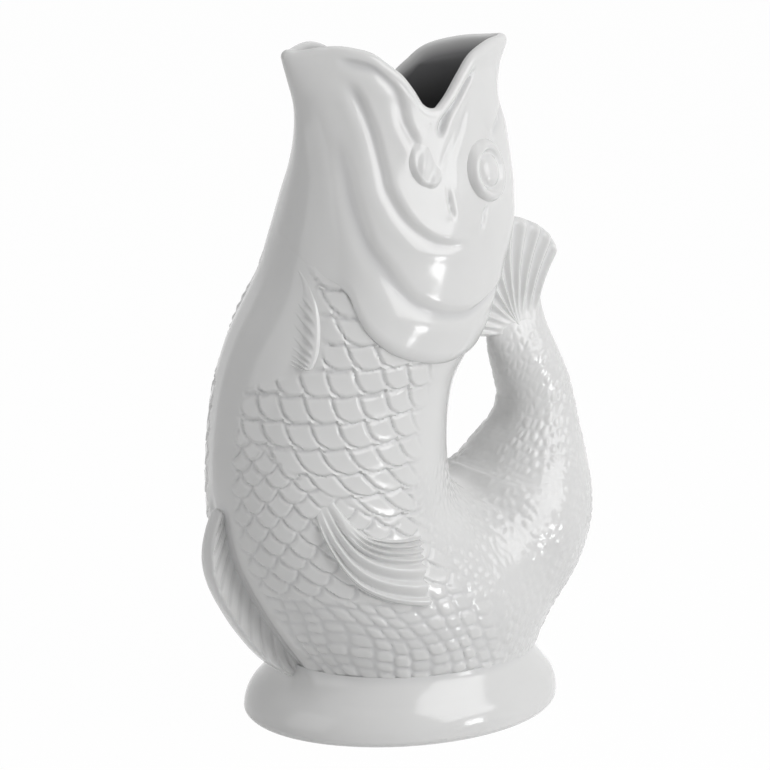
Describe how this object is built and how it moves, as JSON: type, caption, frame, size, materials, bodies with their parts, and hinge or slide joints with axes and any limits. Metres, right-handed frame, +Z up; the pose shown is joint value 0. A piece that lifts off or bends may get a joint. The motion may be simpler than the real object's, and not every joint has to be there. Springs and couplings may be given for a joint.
{
  "type": "gurgle jug",
  "caption": "Fish-shaped glazed gurgle jug: open mouth as spout, hollow tail curled up to the nape as handle, oval foot.",
  "frame": {"origin": "on the surface that the jug stands on, under the middle of its outline", "axes": "+Z up; -X is the front, where the belly and the lower jaw face; +X is the tail handle; the jug mirrors in the plane Y = 0"},
  "size_m": [0.1544, 0.0984, 0.2367],
  "materials": {
    "white_glaze": "clear gloss glaze over a white body"
  },
  "bodies": {
    "root": {"body_shell": "white_glaze", "head_shell": "white_glaze", "tail_handle": "white_glaze", "tail_fin": "white_glaze", "pedestal_foot": "white_glaze", "belly_fin": "white_glaze", "flank_fin_left": "white_glaze", "flank_fin_right": "white_glaze", "breast_fin_left": "white_glaze", "breast_fin_right": "white_glaze", "eye_left": "white_glaze", "eye_right": "white_glaze", "jaw_flap_left": "white_glaze", "jaw_flap_right": "white_glaze"}
  },
  "joints": []
}
